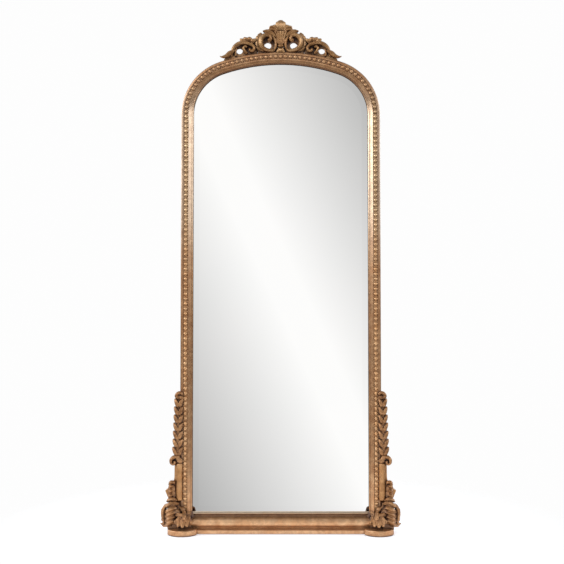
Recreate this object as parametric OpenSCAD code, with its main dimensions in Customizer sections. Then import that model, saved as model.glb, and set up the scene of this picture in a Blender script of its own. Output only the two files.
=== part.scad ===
// Gilt arched floor mirror: a moulded frame with a beaded border, a carved crest, scrolled side
// consoles and a plinth, holding one bevelled glass. Millimetres, +Z up, front towards -Y.
// The origin lies on the floor, in the middle of the mirror's width and depth.

/* [Mirror opening] */
// Width of the glass seen between the stiles
sight_w = 656; // [560:1:740]
// Height of the lower edge of the visible glass
sight_z = 76; // [74:1:80]
// Height of the top of the visible glass
sight_top = 1760; // [1600:1:1900]
// Radius of the flat top arc, at the sight edge
crown_r = 671; // [620:1:720]
// Radius of the two shoulder arcs, at the sight edge
haunch_r = 164; // [150:1:180]

/* [Frame moulding] */
// Width of the moulding
moulding_w = 48; // [46:1:50]
// Thickness of the moulding, front to back
moulding_t = 36; // [34:1:40]
// How far the sight lip stands behind the front of the moulding
lip_drop = 8; // [7:0.5:9]
// Distance from the front of the moulding to the back of the sight lip
lip_back = 14; // [13:0.5:15]
// Width of the rebate that holds the glass
rebate_w = 10; // [9:1:11]
// Radius of the hollow inside the bead string
cove_r = 20; // [18:1:24]
// Distance of the bead string's middle from the sight edge
bead_u = 29; // [28.5:0.5:29.5]
// Width of the channel that the beads stand in
channel_w = 15; // [14.5:0.5:15]
// Depth of that channel
channel_depth = 4; // [3:0.5:5]

/* [Beads] */
// Diameter of one bead
bead_d = 13.6; // [12:0.1:14]
// Distance from bead to bead
bead_pitch = 18.6; // [17:0.1:20]
// Thickness of the strip that the beads are cast on
bead_strip = 1.5; // [1:0.5:2]

/* [Glass and backing] */
// Thickness of the mirror glass
glass_t = 5; // [4:0.5:6]
// How far the glass reaches behind the lip
glass_grip = 8; // [6:0.5:8]
// Thickness of the felt strip between lip and glass
cushion_t = 1; // [0.5:0.5:1]
// Clearance between the backing board and the rebate
board_gap = 1; // [1:0.5:2]

/* [Base] */
// Depth of the whole mirror, nose of the corner blocks to wall bumpers
total_depth = 108; // [108:1:122]
// How far the corner blocks stand in front of the moulding
nose_out = 60; // [58:1:60]
// Height of the rubber foot pads
pad_t = 2; // [1:0.5:3]
// Height of the plinth's top above the floor
plinth_top = 16; // [15:1:18]
// How far the plinth stands in front of the moulding
plinth_out = 20; // [18:1:24]
// Radius of the big round moulding on the base rail
torus_r = 14; // [12:0.5:14]
// Distance of the corner blocks from the middle
block_x = 363; // [360:1:366]
// Half width of a corner block
block_half = 54; // [52:1:54]
// Radius of the bowed front of a corner block
block_r = 64; // [62:1:76]
// Height of the top of a corner block's nose
block_top = 21; // [19:1:22]

/* [Corner ornaments] */
// Distance of the volutes' eyes from the middle
volute_x = 396; // [394:1:398]
// Height of the volutes' eyes
volute_z = 56; // [54:1:58]
// Radius of the rolled drum of a volute
volute_r = 27; // [25:0.5:28]
// Outer radius of the leaf that wraps a volute
wrap_r = 46; // [44:0.5:48]
// Radius of the swelling acanthus leaf in front of a corner
corner_leaf_r = 55; // [52:1:57]

/* [Side consoles] */
// Height of the top of the side consoles
console_top = 505; // [480:1:520]
// Radius of the half-round column on the front of a console
column_r = 13.4; // [12:0.1:13.4]
// Number of husks in a garland
husk_count = 7; // [7:1:7]
// Radius of a husk
husk_r = 22; // [20:0.5:22]
// Height from one husk to the next
husk_pitch = 31; // [28:1:31]

/* [Crest] */
// Height of the top of the crest's shell
crest_top = 1927; // [1920:1:1935]
// How far the crest stands in front of the moulding
crest_out = 12; // [8:1:14]

/* [Back hardware] */
// Length of a turn button
button_l = 44; // [40:1:46]
// Thickness of a turn button
button_t = 2.5; // [2:0.5:3]
// Height of the hangers' ring pins
hanger_z = 1330; // [1200:1:1370]
// Radius of the hanger rings, to the middle of the wire
ring_r = 17; // [16:0.5:19]
// Radius of the ring wire
wire_r = 2; // [1.8:0.1:2]

/* [Hidden] */
$fn = 96;
arch_fn = 480;           // for the long arcs
fit = 0.05;              // running fit between a pin and its hole
gap = 0.3;               // clearance between two moving faces
half_w = sight_w / 2;
outer_half = half_w + moulding_w;
front_y = nose_out - total_depth / 2;
back_y = front_y + moulding_t;
rear_y = total_depth / 2;

// three-centred arch
haunch_x = half_w - haunch_r;
crown_rise = sqrt(pow(crown_r - haunch_r, 2) - pow(haunch_x, 2));
crown_z = sight_top - crown_r;
spring_z = crown_z + crown_rise;
crown_angle = atan2(haunch_x, crown_rise);

// layers in the rebate, as distances behind the front of the moulding
cushion_v = lip_back;
glass_v = cushion_v + cushion_t;
board_v = glass_v + glass_t;

rail_z = plinth_top;     // the base rail stands on the plinth
console_z = 116;         // foot of the side consoles
scroll_z = 268;          // middle of the small scroll half way up a console
husk_foot = scroll_z + 20;   // foot of the garland of husks
stile_mid = half_w + moulding_w / 2;
outer_crown_r = crown_r + moulding_w;

gold = "#b0855b";
dark_gold = "#8a623c";
steel = "#9aa0a6";
rubber = "#2b2b2b";

button_zs = [320, 700, 1080, 1460];
plate_screw_r = 1.9;
button_screw_r = 1.9;

// ---- placing helpers -------------------------------------------------------------------

// side = 1 is the right, side = -1 the left
module on_side(side) {
    if (side > 0) children();
    else mirror([1, 0, 0]) children();
}

// a flat outline in X and Z, given thickness from y_front back to y_back
module slab(y_front, y_back) {
    translate([0, y_back, 0]) rotate([90, 0, 0]) linear_extrude(y_back - y_front) children();
}

// a section (outwards, forwards) carried round an arc in the plane of the frame
module sweep_arc(x, z, start, turn) {
    translate([x, front_y, z]) rotate([90, 0, 0]) rotate([0, 0, start])
        rotate_extrude(angle = turn, $fn = arch_fn) children();
}

// the same section carried straight up
module sweep_up(z0, z1) {
    translate([0, front_y, z0]) mirror([0, 1, 0]) linear_extrude(z1 - z0) children();
}

// ---- frame mouldings -------------------------------------------------------------------

// centre of a circle of radius r through a and b, on the left of the way from a to b
function arc_centre(a, b, r) =
    let (d = b - a, l = norm(d), h = sqrt(r * r - l * l / 4))
    (a + b) / 2 + [-d[1], d[0]] * h / l;

// section of the moulding: x outwards from the sight edge, y forwards from its front
module moulding_section() {
    lip_w = 6;
    cove_top = [bead_u - channel_w / 2 - 1.5, -1];
    lip_edge = [lip_w, -lip_drop];
    ovolo_r = 6.5;
    difference() {
        polygon([
            [0, -lip_drop], [0, -lip_back], [rebate_w, -lip_back], [rebate_w, -moulding_t],
            [moulding_w, -moulding_t], [moulding_w, -ovolo_r], [moulding_w - ovolo_r + 0.5, 0],
            [lip_w, 0], lip_edge
        ]);
        translate(arc_centre(lip_edge, cove_top, cove_r)) circle(cove_r);
        translate([lip_w - 1, -1]) square([cove_top[0] - lip_w + 1, 2]);
        translate([bead_u - channel_w / 2, -channel_depth]) square([channel_w, channel_depth + 1]);
        translate([moulding_w + 0.5, 0.5]) circle(ovolo_r);
    }
}

module stile(side) color(gold) on_side(side)
    translate([half_w, 0, 0]) sweep_up(sight_z, spring_z) moulding_section();

module haunch(side) color(gold) on_side(side)
    sweep_arc(haunch_x, spring_z, 0, 90 - crown_angle) translate([haunch_r, 0]) moulding_section();

module crown_rail() color(gold)
    sweep_arc(0, crown_z, 90 - crown_angle, 2 * crown_angle)
        translate([crown_r, 0]) moulding_section();

// ---- beads -----------------------------------------------------------------------------

bead_v = bead_strip - channel_depth;     // flat of a bead, forwards of the moulding's front
strip_w = channel_w - 2;
stile_beads = floor((spring_z - sight_z - bead_d) / bead_pitch);
haunch_row_r = haunch_r + bead_u;
crown_row_r = crown_r + bead_u;
haunch_beads = round(haunch_row_r * (90 - crown_angle) * PI / 180 / bead_pitch);
crown_beads = round(crown_row_r * 2 * crown_angle * PI / 180 / bead_pitch);

// half a ball, swelling forwards (towards -Y) from a flat at y = 0
module bead() {
    rotate([90, 0, 0]) rotate_extrude() intersection() {
        circle(bead_d / 2);
        square(bead_d);
    }
}

module strip_section() translate([-strip_w / 2, -channel_depth]) square([strip_w, bead_strip]);

module beads_up(side) color(gold) on_side(side) {
    translate([half_w + bead_u, 0, 0]) sweep_up(sight_z, spring_z) strip_section();
    for (i = [1:stile_beads])
        translate([half_w + bead_u, front_y - bead_v, spring_z - (i - 0.5) * bead_pitch]) bead();
}

module beads_arch() color(gold) {
    for (side = [-1, 1]) on_side(side) {
        sweep_arc(haunch_x, spring_z, 0, 90 - crown_angle)
            translate([haunch_row_r, 0]) strip_section();
        for (i = [1:haunch_beads])
            let (a = (i - 0.5) * (90 - crown_angle) / haunch_beads)
            translate([haunch_x + haunch_row_r * cos(a), front_y - bead_v,
                spring_z + haunch_row_r * sin(a)]) bead();
    }
    sweep_arc(0, crown_z, 90 - crown_angle, 2 * crown_angle)
        translate([crown_row_r, 0]) strip_section();
    for (i = [1:crown_beads])
        let (a = 90 - crown_angle + (i - 0.5) * 2 * crown_angle / crown_beads)
        translate([crown_row_r * cos(a), front_y - bead_v, crown_z + crown_row_r * sin(a)]) bead();
}

// ---- base ------------------------------------------------------------------------------

// section of the base rail: x forwards from the moulding's front, y up
module rail_section() {
    neck_out = 3;
    torus_z = rail_z + 11 + torus_r;
    torus_top = torus_z + torus_r;
    scotia_z = (torus_top + sight_z - 7) / 2;
    difference() {
        union() {
            polygon([
                [-moulding_t, rail_z], [neck_out, rail_z], [neck_out, torus_top + 1],
                [1, torus_top + 1], [1, sight_z], [-lip_back, sight_z],
                [-lip_back, sight_z - rebate_w], [-moulding_t, sight_z - rebate_w]
            ]);
            translate([neck_out, torus_z]) circle(torus_r);
        }
        translate([5, scotia_z]) circle(8);
    }
}

module base_rail() color(gold)
    translate([-outer_half, front_y, 0]) rotate([90, 0, 90]) linear_extrude(2 * outer_half)
        mirror([1, 0]) rail_section();

module plinth_board() color(gold)
    translate([block_half - block_x, front_y - plinth_out, pad_t])
        cube([2 * (block_x - block_half), rear_y - front_y + plinth_out, plinth_top - pad_t]);

// plan of a corner block, drawn in by inset all round
module block_plan(inset) {
    bow_y = front_y - nose_out + block_r;
    half = block_half - inset;
    intersection() {
        translate([block_x, bow_y]) circle(block_r - inset);
        translate([block_x - half, front_y - nose_out - 1]) square([2 * half, nose_out - 24]);
    }
    translate([block_x - half, front_y - 25]) square([2 * half, rear_y - front_y + 25 - inset]);
}

module plinth_block(side) color(gold) on_side(side) difference() {
    translate([0, 0, pad_t]) linear_extrude(block_top - pad_t) block_plan(0);
    translate([block_x - block_half - 1, front_y - torus_r - 4, plinth_top])
        cube([2 * block_half + 2, total_depth, block_top]);
}

module foot_pad(side) color(rubber) on_side(side) linear_extrude(pad_t) block_plan(3);

// ---- corner ornaments ------------------------------------------------------------------

ornament_back = front_y - torus_r - 4;   // the corner ornaments stand in front of the rail
volute_front = front_y - 52;

// leaf that wraps a volute from above its shoulder, round its outer side to a hooked tip
module wrap_outline() {
    difference() {
        translate([volute_x + 2, volute_z]) circle(wrap_r);
        translate([volute_x + 2, volute_z]) circle(wrap_r - 11);
        translate([volute_x - 100, 0]) square([108, 200]);
        translate([volute_x, 0]) square([100, volute_z - 8]);
    }
    translate([volute_x + 36, block_top + 3])
        polygon([[0, 25], [12, 25], [13, 14], [17, 2], [8, 6], [2, 14]]);
}

module corner_volute(side) color(gold) on_side(side) {
    // drum, with its eye standing proud
    slab(volute_front, ornament_back)
        intersection() {
            translate([volute_x, volute_z]) circle(volute_r);
            translate([volute_x - 100, block_top]) square(200);
        }
    slab(volute_front - 5, volute_front + 1) translate([volute_x, volute_z]) circle(8);
    // wrapping leaf
    slab(volute_front + 8, ornament_back) wrap_outline();
    // block behind the scroll, beside the stile
    slab(ornament_back, back_y - 4)
        polygon([
            [outer_half, plinth_top], [volute_x + 20, plinth_top], [volute_x + 34, 34],
            [volute_x + 38, 80], [volute_x + 22, console_z], [outer_half, console_z]
        ]);
}

module corner_leaf(side) color(gold) on_side(side) intersection() {
    translate([volute_x - 37, front_y - 2, 42]) sphere(corner_leaf_r);
    slab(-total_depth, ornament_back)
        difference() {
            translate([volute_x - 72, block_top]) square([70, 62]);
            translate([volute_x, volute_z]) circle(volute_r + 0.3);
        }
}

// ---- side consoles ---------------------------------------------------------------------

console_back = back_y - 8;
waist_r = 60;
column_x = outer_half + 1.8;

module console(side) color(gold) on_side(side) {
    // board standing out from the side of the stile
    slab(front_y, console_back) difference() {
        translate([outer_half, console_z]) square([40, console_top - console_z]);
        translate([outer_half + 20 + waist_r, 212]) circle(waist_r);
        translate([outer_half + 16, 212]) square([50, console_top - 212]);
    }
    // half-round column on its front
    translate([column_x, front_y, console_z])
        linear_extrude(scroll_z - 10 - console_z) difference() {
            circle(column_r);
            translate([-20, 0]) square(40);
        }
}

module husk_garland(side) color(gold) on_side(side) difference() {
    // husks that swell towards their lips, one growing out of the other
    translate([outer_half + 10, front_y + 2, husk_foot]) rotate_extrude() polygon([
        [0, 0],
        for (i = [0:husk_count - 1]) each [
            [husk_r - 7, i * husk_pitch],
            [husk_r, (i + 0.6) * husk_pitch],
            [husk_r - 2, (i + 0.95) * husk_pitch]
        ],
        [0, (husk_count - 0.05) * husk_pitch]
    ]);
    // seats on the console board, the stile and the bead string
    translate([outer_half - 50, front_y, 200]) cube([50 + 16, 60, 400]);
    translate([outer_half - 50, front_y + 16, 200]) cube([100, 60, 400]);
    translate([outer_half - 50, front_y - 60, 200]) cube([52 - column_r, 100, 400]);
}

module cap_leaf(side) color(gold) on_side(side)
    slab(front_y - 10, front_y + 20) intersection() {
        translate([outer_half + 8 - 26, console_top - 4]) circle(38);
        translate([outer_half + 8 + 30, console_top - 4]) circle(38);
        translate([outer_half, console_top]) square([40, 40]);
    }

module console_scroll(side) color(gold) on_side(side) {
    slab(front_y - 14, console_back) difference() {
        translate([outer_half + 24, scroll_z]) circle(15);
        translate([outer_half - 20, scroll_z - 40]) square([36, 80]);
    }
    slab(front_y - 14, front_y) difference() {
        translate([outer_half + 4, scroll_z + 5]) circle(15);
        translate([outer_half + 16, scroll_z - 40]) square([36, 80]);
        translate([outer_half - 60, scroll_z - 40]) square([60 - column_r + 1.4, 80]);
        translate([outer_half - 30, scroll_z - 40]) square([60, 30]);
    }
}

module console_leaf(side) color(gold) on_side(side)
    slab(front_y - 12, front_y) difference() {
        union() {
            translate([outer_half + 30, 158]) circle(16);
            translate([outer_half + 28, 134]) circle(18);
            translate([outer_half + 14, console_z]) square([32, 20]);
        }
        translate([outer_half - 40, 80]) square([column_x + column_r + 0.3 - outer_half + 40, 150]);
        translate([outer_half - 40, 60]) square([120, console_z - 60]);
    }

// ---- crest -----------------------------------------------------------------------------

crest_back = front_y + 24;
crest_front = front_y - crest_out;
stem_top = 1881;
ring_z = 1829;

module above_arch() {
    difference() {
        children();
        translate([0, crown_z]) circle(outer_crown_r, $fn = arch_fn);
    }
}

module stem_outline() {
    polygon([[-11, 1780], [11, 1780], [12, ring_z], [17, stem_top], [-17, stem_top], [-12, ring_z]]);
    translate([-14, ring_z - 7]) square([28, 14]);
}

module shell_outline() {
    difference() {
        union() {
            translate([0, crest_top - 21]) circle(21);
            for (s = [-1, 1]) {
                translate([s * 36, stem_top + 13]) circle(19);
                translate([s * 14, stem_top + 8]) circle(16);
            }
        }
        translate([-100, stem_top - 60]) square([200, 60]);
    }
}

module c_scroll_outline() {
    difference() {
        union() {
            translate([50, 1846]) circle(36);
            translate([72, 1866]) circle(14);
        }
        translate([50, 1834]) circle(11);
        translate([-100, stem_top]) square([200, 40]);
        stem_outline();
    }
}

module leaf_scroll_outline() {
    difference() {
        union() {
            translate([124, 1812]) circle(45);
            translate([150, 1806]) circle(38);
        }
        translate([154, 1814]) circle(9);
        c_scroll_outline();
        translate([0, 1700]) square([60, 300]);
    }
}

module tip_outline() {
    difference() {
        translate([176, 1778]) circle(38);
        translate([184, 1766]) circle(22);
        leaf_scroll_outline();
        translate([150, 1700]) square([16, 200]);
    }
}

module crest_shell() color(gold) slab(crest_front, crest_back) shell_outline();
module crest_stem() color(gold) slab(crest_front - 2, crest_back) above_arch() stem_outline();
module c_scroll(side) color(gold) on_side(side)
    slab(crest_front, crest_back) above_arch() c_scroll_outline();
module leaf_scroll(side) color(gold) on_side(side)
    slab(crest_front + 3, crest_back) above_arch() leaf_scroll_outline();
module crest_tip(side) color(gold) on_side(side)
    slab(crest_front + 6, crest_back) above_arch() tip_outline();

// ---- glass and backing -----------------------------------------------------------------

// the arched opening of the frame, made larger all round by grow
module arch_outline(grow) {
    far = 2 * crown_r;
    translate([-half_w - grow, sight_z - grow]) square([sight_w + 2 * grow, spring_z - sight_z + grow]);
    intersection() {
        translate([0, crown_z]) circle(crown_r + grow, $fn = arch_fn);
        polygon([
            [-haunch_x, spring_z], [haunch_x, spring_z],
            [far * sin(crown_angle), crown_z + far * cos(crown_angle)],
            [-far * sin(crown_angle), crown_z + far * cos(crown_angle)]
        ]);
    }
    for (s = [-1, 1]) intersection() {
        translate([s * haunch_x, spring_z]) circle(haunch_r + grow);
        polygon([
            [s * haunch_x, spring_z],
            [s * (haunch_x + far * sin(crown_angle)), spring_z + far * cos(crown_angle)],
            [s * far, spring_z + far], [s * far, spring_z]
        ]);
    }
}

module mirror_glass() color("#d8dcdf")
    slab(front_y + glass_v, front_y + board_v) arch_outline(glass_grip);

module cushion_strip() color("#3a3a3a")
    slab(front_y + cushion_v, front_y + glass_v) difference() {
        arch_outline(glass_grip);
        arch_outline(1);
    }

module backing_board() color("#8f6d4a")
    slab(front_y + board_v, back_y) arch_outline(rebate_w - board_gap);

// ---- back hardware ---------------------------------------------------------------------

button_pivot_in = 9;       // from a button's outer end to its screw
button_w = 14;
screw_head_r = 3.6;
screw_head_t = 2;
screw_into_wood = 15;

// a plate lying at the back, seen as an outline in X and Z
module back_plate(y0, t) slab(back_y + y0, back_y + y0 + t) children();

// screw driven forwards from the back: its head's underside is y_head behind the frame
module back_screw(y_head, r) {
    slab(back_y - screw_into_wood, back_y + y_head + 0.5) circle(r);
    difference() {
        slab(back_y + y_head, back_y + y_head + screw_head_t) circle(screw_head_r);
        translate([-5, back_y + y_head + screw_head_t - 0.8, -0.5]) cube([10, 2, 1]);
    }
}

// a turn button round its screw at the origin, its long end towards -X
module turn_button_shape() color(steel) back_plate(gap, button_t) difference() {
    intersection() {
        translate([button_pivot_in - button_l, -button_w / 2]) square([button_l, button_w]);
        translate([button_pivot_in - button_l / 2, 0]) circle(button_l / 2);
    }
    circle(button_screw_r + fit);
}

module place_button(i) {
    if (i < 8) {
        on_side(i < 4 ? -1 : 1) translate([stile_mid, 0, button_zs[i % 4]]) children();
    } else {
        translate([0, 0, crown_z + crown_r + moulding_w / 2]) rotate([0, -90, 0]) children();
    }
}

module turn_button(i) place_button(i - 1) turn_button_shape();

module turn_button_screws() color(dark_gold)
    for (i = [0:8]) place_button(i) back_screw(2 * gap + button_t, button_screw_r);

// ring hangers: a strap plate with a rolled barrel at its top, round the ring's straight bar
strap_w = 20;
strap_t = 2;
strap_l = 62;
barrel_r = 4;
ring_y = back_y + 5;
strap_screw_zs = [-38, -52];
bar_r = wire_r - 0.1;
ring_leg = 8;

module hanger_plate(side) color(steel) on_side(side) translate([stile_mid, 0, hanger_z])
    difference() {
        union() {
            slab(back_y, back_y + strap_t) translate([-strap_w / 2, -strap_l])
                square([strap_w, strap_l]);
            translate([-strap_w / 2, ring_y, 0]) rotate([0, 90, 0]) cylinder(h = strap_w, r = barrel_r);
        }
        translate([-strap_w, ring_y, 0]) rotate([0, 90, 0])
            cylinder(h = 2 * strap_w, r = bar_r + fit);
        translate([-strap_w, back_y - 10, -10]) cube([2 * strap_w, 10, 20]);
        for (z = strap_screw_zs) slab(back_y - 1, back_y + strap_t + 1)
            translate([0, z]) circle(plate_screw_r + fit);
    }

module hanger_ring(side) color(steel) on_side(side) translate([stile_mid, ring_y, hanger_z]) {
    translate([-ring_r, 0, 0]) rotate([0, 90, 0]) cylinder(h = 2 * ring_r, r = bar_r);
    for (s = [-1, 1]) translate([s * ring_r, 0, -ring_leg]) cylinder(h = ring_leg + wire_r, r = wire_r);
    translate([0, 0, -ring_leg]) rotate([90, 0, 0]) rotate([0, 0, 180])
        rotate_extrude(angle = 180) translate([ring_r, 0]) circle(wire_r);
}

module hanger_screws() color(dark_gold)
    for (side = [-1, 1], z = strap_screw_zs) on_side(side)
        translate([stile_mid, 0, hanger_z + z]) back_screw(strap_t, plate_screw_r);

// steel plates across the joints of the frame: an angle at each lower corner, a straight one
// at each end of the shoulders
joint_plate_t = 2;
angle_leg = 90;
angle_w = 18;
straight_l = 80;
plate_hole = 12;          // from a plate's end to its screw

module corner_angle_outline() difference() {
    union() {
        translate([stile_mid - angle_w / 2, 40]) square([angle_w, angle_leg]);
        translate([stile_mid + angle_w / 2 - angle_leg, 40]) square([angle_leg, angle_w]);
    }
    for (p = corner_screws) translate(p) circle(plate_screw_r + fit);
}
corner_screws = [
    [stile_mid, 40 + angle_leg - plate_hole], [stile_mid, 40 + angle_leg - 30],
    [stile_mid + angle_w / 2 - angle_leg + plate_hole, 40 + angle_w / 2]
];
crown_joint_r = crown_r + moulding_w / 2;

module place_straight(n) {
    if (n == 0) translate([stile_mid, spring_z - 4]) rotate(90) children();
    else translate([crown_joint_r * sin(crown_angle), crown_z + crown_joint_r * cos(crown_angle)])
        rotate(-crown_angle) children();
}

module joint_plates() color(steel) for (side = [-1, 1]) on_side(side) back_plate(0, joint_plate_t) {
    corner_angle_outline();
    for (n = [0, 1]) place_straight(n) difference() {
        translate([-straight_l / 2, -angle_w / 2]) square([straight_l, angle_w]);
        for (s = [-1, 1]) translate([s * (straight_l / 2 - plate_hole), 0])
            circle(plate_screw_r + fit);
    }
}

module joint_screw_at(p) translate([p[0], 0, p[1]]) back_screw(joint_plate_t, plate_screw_r);

module joint_plate_screws() color(dark_gold) for (side = [-1, 1]) on_side(side) {
    for (p = corner_screws) joint_screw_at(p);
    for (s = [-1, 1]) {
        reach = s * (straight_l / 2 - plate_hole);
        joint_screw_at([stile_mid, spring_z - 4 + reach]);
        joint_screw_at([
            crown_joint_r * sin(crown_angle) + reach * cos(crown_angle),
            crown_z + crown_joint_r * cos(crown_angle) - reach * sin(crown_angle)
        ]);
    }
}

// rubber bumpers that meet the wall
bumper_r = 11;
bumper_angle = 40;
module wall_bumpers() color(rubber) for (side = [-1, 1]) on_side(side) {
    slab(back_y, rear_y) translate([stile_mid, 230]) circle(bumper_r);
    slab(back_y, rear_y) translate([
        haunch_x + (haunch_r + moulding_w / 2) * cos(bumper_angle),
        spring_z + (haunch_r + moulding_w / 2) * sin(bumper_angle)
    ]) circle(bumper_r);
}

// ---- what is drawn ---------------------------------------------------------------------

stile(-1);  // stile_left
stile(1);  // stile_right
haunch(-1);  // haunch_left
haunch(1);  // haunch_right
crown_rail();
base_rail();
plinth_board();
plinth_block(-1);  // plinth_block_left
plinth_block(1);  // plinth_block_right
beads_up(-1);  // beads_left
beads_up(1);  // beads_right
beads_arch();
corner_volute(-1);  // corner_volute_left
corner_volute(1);  // corner_volute_right
corner_leaf(-1);  // corner_leaf_left
corner_leaf(1);  // corner_leaf_right
console(-1);  // console_left
console(1);  // console_right
husk_garland(-1);  // husk_garland_left
husk_garland(1);  // husk_garland_right
cap_leaf(-1);  // cap_leaf_left
cap_leaf(1);  // cap_leaf_right
console_scroll(-1);  // console_scroll_left
console_scroll(1);  // console_scroll_right
console_leaf(-1);  // console_leaf_left
console_leaf(1);  // console_leaf_right
crest_shell();
crest_stem();
c_scroll(-1);  // c_scroll_left
c_scroll(1);  // c_scroll_right
leaf_scroll(-1);  // leaf_scroll_left
leaf_scroll(1);  // leaf_scroll_right
crest_tip(-1);  // crest_tip_left
crest_tip(1);  // crest_tip_right
mirror_glass();
cushion_strip();
backing_board();
turn_button(1);  // turn_button_1
turn_button(2);  // turn_button_2
turn_button(3);  // turn_button_3
turn_button(4);  // turn_button_4
turn_button(5);  // turn_button_5
turn_button(6);  // turn_button_6
turn_button(7);  // turn_button_7
turn_button(8);  // turn_button_8
turn_button(9);  // turn_button_9
turn_button_screws();
hanger_plate(-1);  // hanger_plate_left
hanger_plate(1);  // hanger_plate_right
hanger_ring(-1);  // hanger_ring_left
hanger_ring(1);  // hanger_ring_right
hanger_screws();
joint_plates();
joint_plate_screws();
wall_bumpers();
foot_pad(-1);  // foot_pad_left
foot_pad(1);  // foot_pad_right
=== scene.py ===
"""Looks of the arched gilt floor mirror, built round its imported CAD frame. Metres throughout;
ornaments are drawn in millimetres as (across, up, forwards), which to_world turns into metres."""
from math import asin, atan2, cos, degrees, pi, radians, sin, sqrt

import bmesh
import bpy
import numpy as np
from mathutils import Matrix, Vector


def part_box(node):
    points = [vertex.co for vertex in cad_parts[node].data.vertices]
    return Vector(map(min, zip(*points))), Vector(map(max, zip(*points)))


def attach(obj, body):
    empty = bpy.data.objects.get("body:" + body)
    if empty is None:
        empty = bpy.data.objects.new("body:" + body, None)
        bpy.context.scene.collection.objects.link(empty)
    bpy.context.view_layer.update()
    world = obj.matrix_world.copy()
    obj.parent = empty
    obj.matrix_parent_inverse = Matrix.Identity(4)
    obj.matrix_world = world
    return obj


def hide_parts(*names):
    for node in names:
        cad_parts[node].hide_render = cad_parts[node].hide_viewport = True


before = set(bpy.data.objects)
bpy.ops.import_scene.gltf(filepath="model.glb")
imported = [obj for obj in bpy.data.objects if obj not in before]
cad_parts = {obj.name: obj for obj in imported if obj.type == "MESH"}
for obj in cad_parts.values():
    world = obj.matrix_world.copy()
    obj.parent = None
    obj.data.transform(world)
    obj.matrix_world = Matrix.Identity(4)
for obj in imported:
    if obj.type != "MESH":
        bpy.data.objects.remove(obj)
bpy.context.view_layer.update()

MM = 0.001

# ---- sizes taken from the CAD frame ----

stile_lo, stile_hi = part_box("stile_right")
crown_lo, crown_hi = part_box("crown_rail")
rail_lo, rail_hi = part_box("base_rail")
board_lo, board_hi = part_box("plinth_board")
block_lo, block_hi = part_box("plinth_block_right")
glass_lo, glass_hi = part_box("mirror_glass")

FRONT_Y = stile_lo.y                     # the front plane of the moulding
BACK_Y = stile_hi.y
SIGHT_X = stile_lo.x                     # half the width of the visible glass
OUTER_X = stile_hi.x
SIGHT_Z = stile_lo.z
SPRING_Z = stile_hi.z                    # where the arch begins
MOULD_W = OUTER_X - SIGHT_X
SIGHT_TOP = crown_hi.z - MOULD_W
CROWN_R, HAUNCH_R = 0.671, 0.164         # the sight edge's radii over the crown and at its sides
HAUNCH_X = SIGHT_X - HAUNCH_R
CROWN_Z = SIGHT_TOP - CROWN_R
CROWN_ANGLE = atan2(HAUNCH_X, SPRING_Z - CROWN_Z)

OX = OUTER_X / MM                        # the moulding's outer edge in the ornament's millimetres


def to_world(points):
    """(across, up, forwards of the moulding's front) in mm to metres in the shared frame."""
    p = np.asarray(points, float)
    return np.stack([p[..., 0] * MM, FRONT_Y - p[..., 2] * MM, p[..., 1] * MM], axis=-1)


# ---- mesh helpers ----

def add_object(name, data):
    obj = bpy.data.objects.new(name, data)
    bpy.context.scene.collection.objects.link(obj)
    return obj


def new_object(name, verts, faces):
    mesh = bpy.data.meshes.new(name)
    mesh.from_pydata([tuple(v) for v in verts], [], [tuple(f) for f in faces])
    mesh.update()
    return add_object(name, mesh)


def join_parts(parts):
    """One list of vertices and faces from several."""
    verts, faces, start = [], [], 0
    for v, f in parts:
        verts.append(np.asarray(v, float))
        faces += [tuple(int(i) + start for i in face) for face in f]
        start += len(v)
    return np.concatenate(verts), faces


def smooth_shade(obj, sharp_degrees):
    """Turns the faces outwards and shades them smooth, with edges left where they bend sharply."""
    mesh = bmesh.new()
    mesh.from_mesh(obj.data)
    bmesh.ops.recalc_face_normals(mesh, faces=mesh.faces)
    mesh.to_mesh(obj.data)
    mesh.free()
    obj.data.shade_smooth()
    obj.data.set_sharp_from_angle(angle=radians(sharp_degrees))


def apply_modifiers(obj):
    bpy.context.view_layer.update()
    evaluated = obj.evaluated_get(bpy.context.evaluated_depsgraph_get())
    mesh, old = bpy.data.meshes.new_from_object(evaluated), obj.data
    obj.modifiers.clear()
    obj.data = mesh
    mesh.name = obj.name
    bpy.data.meshes.remove(old)


def fuse(name, parts, voxel_mm, x0):
    """Melts overlapping closed shapes, drawn x0 mm from the middle, into one skin."""
    verts, faces = join_parts(parts)
    obj = new_object(name, to_world(verts + (x0, 0, 0)), faces)
    remesh = obj.modifiers.new("Remesh", "REMESH")
    remesh.mode = "VOXEL"
    remesh.voxel_size = voxel_mm * MM
    relax = obj.modifiers.new("Relax", "SMOOTH")
    relax.factor, relax.iterations = 0.5, 2
    apply_modifiers(obj)
    obj.data.shade_smooth()
    return obj


def mirrored(obj, name):
    """The same piece for the left side."""
    twin = add_object(name, obj.data.copy())
    for v in twin.data.vertices:
        v.co.x = -v.co.x
    twin.data.flip_normals()
    twin.data.name = name
    return twin


def finish_piece(obj, body, nodes, slot, *materials):
    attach(obj, body)
    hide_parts(*nodes)
    for m in materials:
        obj.data.materials.append(m)


def finish_pair(right, kind, slot, *materials):
    """Finishes a piece of the right-hand side and its mirror image."""
    left = mirrored(right, right.name.replace("_right", "_left"))
    finish_piece(right, "frame", [f"{kind}_right"], slot, *materials)
    finish_piece(left, "frame", [f"{kind}_left"], slot, *materials)


# ---- strokes and leaves ----

ROUND_END = 0.06                         # share of a stroke that each rounded end takes
LOBE_SWEEP = 0.14                        # how far the lobes of a leaf lean towards its tip


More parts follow.
